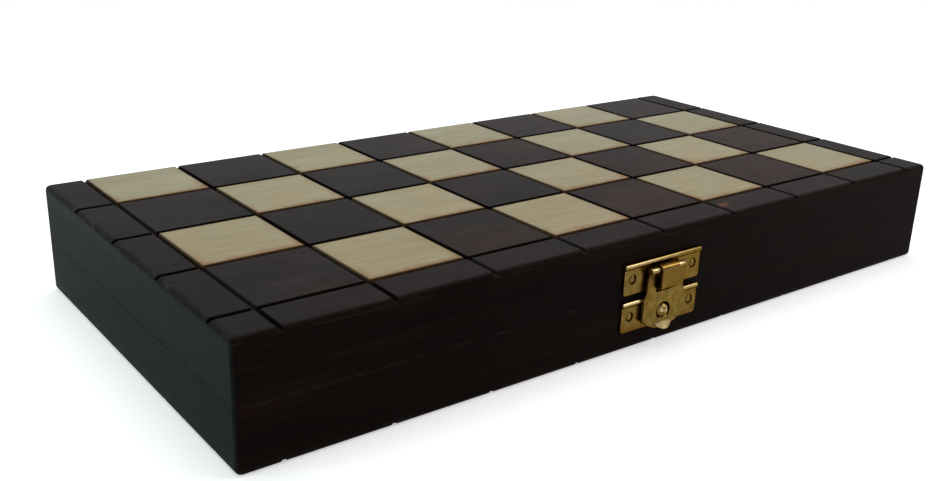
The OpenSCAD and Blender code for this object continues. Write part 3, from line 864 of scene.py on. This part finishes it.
def plate_polish_and_highlights(parts):
    """Lighter lines along the rolls, most on the lower plate, partly rubbed bright and partly
    painted highlight, and painted glints on the stud.
    """
    rolls = lesser_of(*(apart(parts[2], z + roll_h * 0.45) for z in roll_heights))
    rolls = between(rolls, roll_h * 0.42, roll_h * 0.18)
    rolls = times(rolls, between(parts[1], front_y - roll_d, front_y - roll_d * 1.5))
    lower = between(parts[2], seam_z, seam_z - 1 * mm)
    to_left = between(parts[0], latch_x + 20 * mm, latch_x - 20 * mm)
    rolls = times(rolls, plus(times(lower, 0.5), times(to_left, 0.7)))
    # painted glints on the upper part of the stud
    stud_top = between(parts[1], front_y - plate_t - stud_h * 0.55,
                       front_y - plate_t - stud_h * 0.85)
    low_half = times(is_under(parts[2], seam_z - 3 * mm),
                     between(parts[2], stud_z - 1 * mm, stud_z - 0.2 * mm))
    place = node_on("CombineXYZ", *parts).outputs[0]
    glints = noise_of(place, (700, 700, 700), detail=3, roughness=0.5)
    glints = between(glints, 0.46, 0.58)
    stud_top = times(stud_top, times(low_half, glints))
    return greater_of(rolls, stud_top)


def tarnished_plate(parts):
    """Browned all over, most on the tongue and at the lowest corner on the left."""
    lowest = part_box("strike_plate")[0].z
    corner = times(between(parts[2], lowest + 4.5 * mm, lowest),
                   between(parts[0], latch_x, latch_x - 10 * mm))
    tongue = between(parts[1], front_y - 1.5 * mm, front_y - 2.5 * mm)
    tongue = times(tongue, is_over(parts[2], seam_z - 0.5 * mm))
    return greater_of(0.25, greater_of(times(corner, 0.9), times(tongue, 0.5)))


latch_brass = make_latch_brass("latch_brass", plate_polish_and_highlights, tarnished_plate)


def nail_places(mid_z):
    return [Vector((latch_x + side * nail_reach, front_y, mid_z)) for side in (-1, 1)]


def stamped_plate(low_z, high_z, half_w, *cutters):
    """A plate with its nail holes, and a rolled upper edge that is hollow at its ends."""
    bm = block((latch_x - half_w, front_y - sheet_t, low_z),
               (latch_x + half_w, front_y, high_z - roll_h))
    soften(bm, [e for e in edges_along(bm, 1) if near(e.verts[0].co.z, low_z)], plate_corner,
           segments=6)
    soften(bm, [e for e in edges_at(bm, 1, front_y - sheet_t)
                if any(v.co.z < high_z - roll_h - hair for v in e.verts)], plate_ease)
    holes, seats = bmesh.new(), bmesh.new()
    for spot in nail_places((low_z + high_z) / 2):
        add_rod(holes, spot + Vector((0, past, 0)), spot - Vector((0, 2 * plate_t, 0)),
                latch_nail_r + hair, segments=24)
        add_rod(seats, spot - Vector((0, head_seat, 0)), spot - Vector((0, 2 * plate_t, 0)),
                punch_r, punch_r + plate_ease, segments=32)
    bm = carve(bm, holes, seats, *cutters)
    middle = Vector((latch_x, front_y - roll_d, high_z - roll_h))
    aside = Vector((half_w, 0, 0))
    roll = rod(middle - aside, middle + aside, roll_h, segments=32)
    soften(roll, edges_across(roll, 0), plate_ease)
    core = bmesh.new()
    for end in (-1, 1):
        add_rod(core, middle + end * (aside - Vector((core_d, 0, 0))),
                middle + end * (aside + Vector((past, 0, 0))), core_r, segments=16)
    roll = carve(roll, core)
    bmesh.ops.scale(roll, vec=(1, roll_d / roll_h, 1), space=Matrix.Translation(-middle),
                    verts=roll.verts)
    return joined(bm, roll)


def cap_height(r, radius, height):
    """Height at r of a shallow round cap with this radius at its rim and height inside."""
    sphere_r = (radius ** 2 + height ** 2) / (2 * height)
    return height - sphere_r + math.sqrt(sphere_r ** 2 - r ** 2)


def dome(middle, radius, height, steps=6):
    """A dome on a plate that faces -Y, with its rim round middle."""
    points = []
    for k in range(steps + 1):
        r = radius * math.sin(math.pi / 2 * k / steps)
        points.append(middle + Vector((r, -cap_height(r, radius, height), 0)))
    bm = bmesh.new()
    spun(bm, points, middle, (0, 1, 0), 32)
    return bm


for nails, body in (("strike_nails", "base"), ("latch_nails", "lid")):
    low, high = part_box(nails)
    heads = []
    for spot in nail_places((low.z + high.z) / 2):
        seat = spot - Vector((0, head_seat, 0))
        heads += [rod((spot.x, high.y, spot.z), seat, latch_nail_r, segments=20),
                  dome(seat, latch_head_r, head_h)]
    finish_piece(joined(*heads), nails, body, latch_brass)

# Strike plate: the lower latch plate, of the same brass. A hollow stud is drawn up in its
# middle, with a dimple in its top, and the hasp snaps over it.
low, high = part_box("strike_plate")
half_w = (high.x - low.x) / 2
dimple_r, dimple_d = 1.5 * mm, 0.35 * mm
stud = dome(Vector((latch_x, front_y - sheet_t + hair, stud_z)), stud_r,
            stud_h + plate_t - sheet_t + hair, steps=8)
dimple = bmesh.new()
dimple_y = front_y - plate_t - stud_h + dimple_d - dimple_r
bmesh.ops.create_uvsphere(dimple, u_segments=32, v_segments=16, radius=dimple_r,
                          matrix=Matrix.Translation((latch_x, dimple_y, stud_z)))
stud = carve(joined(stud), dimple)
finish_piece(joined(stamped_plate(low.z, high.z, half_w), stud), "strike_plate", "base",
             latch_brass)

# Latch plate: the upper latch plate. Its tongue comes out of a slot, rolls forward over the
# hasp's bar and is bent back under it to the plate, so the bar turns but can't drop out.
low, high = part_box("latch_plate")
bar_out, bar_z, bar_r, bar_fit = 2.6 * mm, seam_z + 7.3 * mm, 0.95 * mm, 0.08 * mm
tongue_t, tongue_w, tongue_l, tongue_end = 0.8 * mm, 7.6 * mm, 6.5 * mm, 0.6 * mm
slot_h, slot_gap = 0.6 * mm, 0.3 * mm
bar_y = front_y - bar_out
roll_out = bar_r + bar_fit + tongue_t
slot = block(
    (latch_x - tongue_w / 2, front_y - plate_t - past, bar_z + roll_out - slot_gap),
    (latch_x + tongue_w / 2, front_y + past, bar_z + roll_out - slot_gap + slot_h))
plate_bm = stamped_plate(low.z, high.z, half_w, slot)
mid_r = bar_r + bar_fit + tongue_t / 2
tongue = bmesh.new()
ends = [tongue.verts.new((latch_x + side * tongue_w / 2, bar_y + mid_r, bar_z - bar_r))
        for side in (-1, 1)]
edge = tongue.edges.new(ends)


def fold(bm, edges, by=None, around=None, angle=0.0, steps=8):
    """Draws the strip on from its last edges, straight or round a bend."""
    if by is not None:
        grown = bmesh.ops.extrude_edge_only(bm, edges=edges)["geom"]
        verts = [g for g in grown if isinstance(g, bmesh.types.BMVert)]
        bmesh.ops.translate(bm, verts=verts, vec=by)
    else:
        verts = list({v for e in edges for v in e.verts})
        grown = bmesh.ops.spin(bm, geom=verts + edges, cent=around, axis=(1, 0, 0),
                               angle=angle, steps=steps)["geom_last"]
    return [g for g in grown if isinstance(g, bmesh.types.BMEdge)
            and near(g.verts[0].co.y, g.verts[1].co.y)
            and near(g.verts[0].co.z, g.verts[1].co.z)]


last = fold(tongue, [edge], by=(0, 0, bar_r))
last = fold(tongue, last, around=(latch_x, bar_y, bar_z), angle=math.pi, steps=14)
bend_r = tongue_t / 2 + 0.1 * mm
last = fold(tongue, last, by=(0, 0, -(tongue_l - tongue_t / 2 - bend_r)))
last = fold(tongue, last, around=(latch_x, bar_y - mid_r + bend_r,
                                  bar_z - tongue_l + tongue_t / 2 + bend_r),
            angle=math.pi / 2, steps=5)
fold(tongue, last, by=(0, bar_out - tongue_end + mid_r - bend_r, 0))
bmesh.ops.recalc_face_normals(tongue, faces=tongue.faces)
strip = as_object(tongue, "strip")
thick = strip.modifiers.new("thick", "SOLIDIFY")
thick.thickness = tongue_t
thick.offset = 0
thick.use_even_offset = True
folded = bmesh.new()
folded.from_object(strip, bpy.context.evaluated_depsgraph_get())
bpy.data.objects.remove(strip)
bmesh.ops.recalc_face_normals(folded, faces=folded.faces)
folded.normal_update()
soften(folded, [e for e in folded.edges if len(e.link_faces) == 2
                and e.calc_face_angle(0) > 1.2], 0.14 * mm, segments=2)
finish_piece(joined(plate_bm, folded), "latch_plate", "lid", latch_brass)

# Hasp: stamped from thicker brass, with two arms that curl round a drawn bar, a window for
# the tongue, a hole that snaps over the stud and a lip at the bottom for the thumb.
hasp_back, hasp_t, hasp_end_r = 1.5 * mm, 1.1 * mm, 13 * mm
hasp_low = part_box("hasp")[0]
curl_r, curl_end, neck_half, body_half = 1.15 * mm, 7.6 * mm, 8.25 * mm, 9.1 * mm
window_half, window_l, bar_half = tongue_w / 2 + 0.3 * mm, 7.6 * mm, 7.2 * mm
brim_w, brim_h, brim_ease, stud_gap = 0.75 * mm, 0.14 * mm, 0.3 * mm, 0.3 * mm
shoulder_r, window_corner, rim_ease, curl_ease = 0.7 * mm, 0.5 * mm, 0.16 * mm, 0.2 * mm
back_of_hasp = front_y - hasp_back
round_z = hasp_low.z + hasp_end_r
arc_half = math.asin(body_half / hasp_end_r)

bm = bmesh.new()
side = [(curl_end, bar_z), (neck_half, seam_z - 0.5 * mm), (body_half, seam_z - 1.9 * mm),
        (body_half, round_z - hasp_end_r * math.cos(arc_half))]
right = [bm.verts.new((latch_x + x, back_of_hasp, z)) for x, z in side]
left = [bm.verts.new((latch_x - x, back_of_hasp, z)) for x, z in side]
for chain in (right, left):
    for pair in zip(chain, chain[1:]):
        bm.edges.new(pair)
bm.edges.new((left[0], right[0]))
bmesh.ops.spin(bm, geom=[right[-1]], cent=(latch_x, back_of_hasp, round_z), axis=(0, 1, 0),
               angle=2 * arc_half, steps=24)
bmesh.ops.remove_doubles(bm, verts=bm.verts, dist=0.005 * mm)
bmesh.ops.contextual_create(bm, geom=bm.edges[:])
shoulders = [v for v in bm.verts if seam_z - 3 * mm < v.co.z < seam_z + 1 * mm]
bmesh.ops.bevel(bm, geom=shoulders, offset=shoulder_r, segments=4, profile=0.5,
                affect="VERTICES", material=-1)
raised = bmesh.ops.extrude_face_region(bm, geom=bm.faces[:])["geom"]
bmesh.ops.translate(bm, verts=[g for g in raised if isinstance(g, bmesh.types.BMVert)],
                    vec=(0, -hasp_t, 0))
bmesh.ops.recalc_face_normals(bm, faces=bm.faces)
face = [f for f in bm.faces if f.normal.y < -0.9]
bmesh.ops.inset_region(bm, faces=face, thickness=brim_w)
bmesh.ops.translate(bm, verts=list({v for f in face for v in f.verts}), vec=(0, brim_h, 0))
bm.normal_update()
front_of_hasp = back_of_hasp - hasp_t
brim = [e for e in bm.edges if all(v.co.y < front_of_hasp + brim_h + hair for v in e.verts)
        and len(e.link_faces) == 2 and e.calc_face_angle(0) > 0.15]
soften(bm, brim, brim_ease)
window = block((latch_x - window_half, front_of_hasp - past, bar_z - window_l),
               (latch_x + window_half, back_of_hasp + past, bar_z + past))
soften(window, edges_along(window, 1), window_corner)
hole = rod((latch_x, back_of_hasp + past, stud_z), (latch_x, front_of_hasp - past, stud_z),
           stud_r + stud_gap)
bm = carve(bm, window, hole)
bm.normal_update()
cut_rims = [e for e in bm.edges if len(e.link_faces) == 2 and e.calc_face_angle_signed(0) > 1
            and all(v.co.y < front_of_hasp + 0.3 * mm and v.co.z < bar_z - hair
                    for v in e.verts)]
soften(bm, cut_rims, rim_ease, segments=2)
lean, lean_out = 3.2 * mm, 0.55 * mm
for k in range(7):
    bmesh.ops.bisect_plane(bm, geom=bm.verts[:] + bm.edges[:] + bm.faces[:],
                           plane_co=(0, 0, bar_z - lean * (1 - k / 7)), plane_no=(0, 0, 1))
for v in bm.verts:
    up = min(1.0, max(0.0, (v.co.z - bar_z + lean) / lean))
    v.co.y -= lean_out * up * up * (3 - 2 * up)
bar = rod((latch_x - bar_half, bar_y, bar_z), (latch_x + bar_half, bar_y, bar_z), bar_r)
pieces_of_hasp = [bm, bar]
for side in (-1, 1):
    curl = rod((latch_x + side * window_half, bar_y, bar_z),
               (latch_x + side * curl_end, bar_y, bar_z), curl_r)
    soften(curl, edges_across(curl, 0), curl_ease)
    pieces_of_hasp.append(curl)
lip_half, lip_top, lip_out = 4.9 * mm, 3.6 * mm, 1.8 * mm
lip_t, lip_root, lip_ease = 0.9 * mm, 0.4 * mm, 0.25 * mm
thumb = block(
    (latch_x - lip_half, front_of_hasp + lip_root, hasp_low.z),
    (latch_x + lip_half, front_of_hasp + lip_root + lip_t * 0.7, hasp_low.z + lip_top))
bmesh.ops.subdivide_edges(thumb, edges=edges_along(thumb, 1), cuts=1)
bmesh.ops.subdivide_edges(thumb, edges=edges_across(thumb, 1), cuts=11, use_grid_fill=True)
for v in thumb.verts:
    down = max(0.0, (hasp_low.z + lip_top - v.co.z) / lip_top)
    swell = down * (1 - 0.45 * ((v.co.x - latch_x) / lip_half) ** 2)
    v.co.y -= (lip_out + lip_root) * swell ** 1.2
rounded = rod((latch_x, front_y, hasp_low.z + lip_half),
              (latch_x, front_y - 6 * mm, hasp_low.z + lip_half), lip_half, segments=64)
thumb = carve(thumb, rounded, keep=True)
thumb.normal_update()
soften(thumb, [e for e in thumb.edges if len(e.link_faces) == 2
               and e.calc_face_angle_signed(0) > 0.9], lip_ease)
pieces_of_hasp.append(thumb)


def hasp_polish_and_highlights(parts):
    """Lighter on the upper half of the bar and its curls and on the thumb lip, partly rubbed
    bright and partly painted highlight.
    """
    curls = between(parts[2], bar_z - 0.2 * mm, bar_z + 0.5 * mm)
    lip_front = between(parts[1], front_of_hasp - 0.1 * mm, front_of_hasp - 0.5 * mm)
    lip_low = between(parts[2], hasp_low.z + lip_top + past, hasp_low.z + lip_top)
    return greater_of(times(curls, 0.4), times(lip_front, times(lip_low, 0.45)))


def tarnished_hasp(parts):
    return times(0.35, between(parts[2], seam_z - 2 * mm, seam_z + 4 * mm))


hasp_brass = make_latch_brass("hasp_brass", hasp_polish_and_highlights, tarnished_hasp)
finish_piece(joined(*pieces_of_hasp), "hasp", "hasp", hasp_brass)

# Checkers: discs turned from beech on a small lathe, each with a ring and a shallow hollow
# on both faces, then lacquered clear or stained dark. They stand on edge in two channels.
checker_round, ring_r, ring_half = 1 * mm, 9.6 * mm, 0.8 * mm
dish_r, dish_d = 7.2 * mm, 0.8 * mm


def make_checker_finish(name, gloss, *colours):
    material, place, parts = new_finish(name)
    fibres = noise_of(place, (700, 34, 700), detail=5)
    figure = noise_of(place, (110, 14, 90), detail=2, distortion=0.8)
    tone = plus(times(fibres, 0.4), times(figure, 0.6))
    colour = ramp_of(tone, 0.2, *colours)
    close_finish(colour, 0.42, gloss, relief=fibres, depth=0.015 * mm)
    return material


pale_lacquer = make_checker_finish(
    "pale_checker_lacquer", 0.3, (0.42, 0.27, 0.13), (0.53, 0.37, 0.19), (0.62, 0.46, 0.26))
dark_lacquer = make_checker_finish(
    "dark_checker_lacquer", 0.12, (0.020, 0.008, 0.005), (0.040, 0.016, 0.010),
    (0.072, 0.031, 0.019))


def half_profile(radius, half_t):
    """Points of one face of a checker, from its middle to the middle of its rim."""
    points = []
    for k in range(6):
        r = dish_r * k / 5
        points.append((r, half_t - cap_height(r, dish_r, dish_d)))
    for k in range(7):
        turn = math.pi * (1 - k / 6)
        points.append((ring_r + ring_half * math.cos(turn),
                       half_t - ring_half * math.sin(turn)))
    for k in range(5):
        turn = math.pi / 2 * (1 - k / 4)
        points.append((radius - checker_round + checker_round * math.cos(turn),
                       half_t - checker_round + checker_round * math.sin(turn)))
    return points


def make_checker(name, body, finish):
    low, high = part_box(name)
    middle = (low + high) / 2
    half = half_profile((high.y - low.y) / 2, (high.x - low.x) / 2)
    profile = half + [(r, -x) for r, x in reversed(half)]
    bm = bmesh.new()
    spun(bm, [middle + Vector((x, 0, r)) for r, x in profile], middle, (1, 0, 0), 64)
    finish_piece(joined(bm), name, body, finish)


for number in range(1, 13):
    make_checker(f"light_checker_{number:02}", "light_row", pale_lacquer)
    make_checker(f"dark_checker_{number:02}", "dark_row", dark_lacquer)
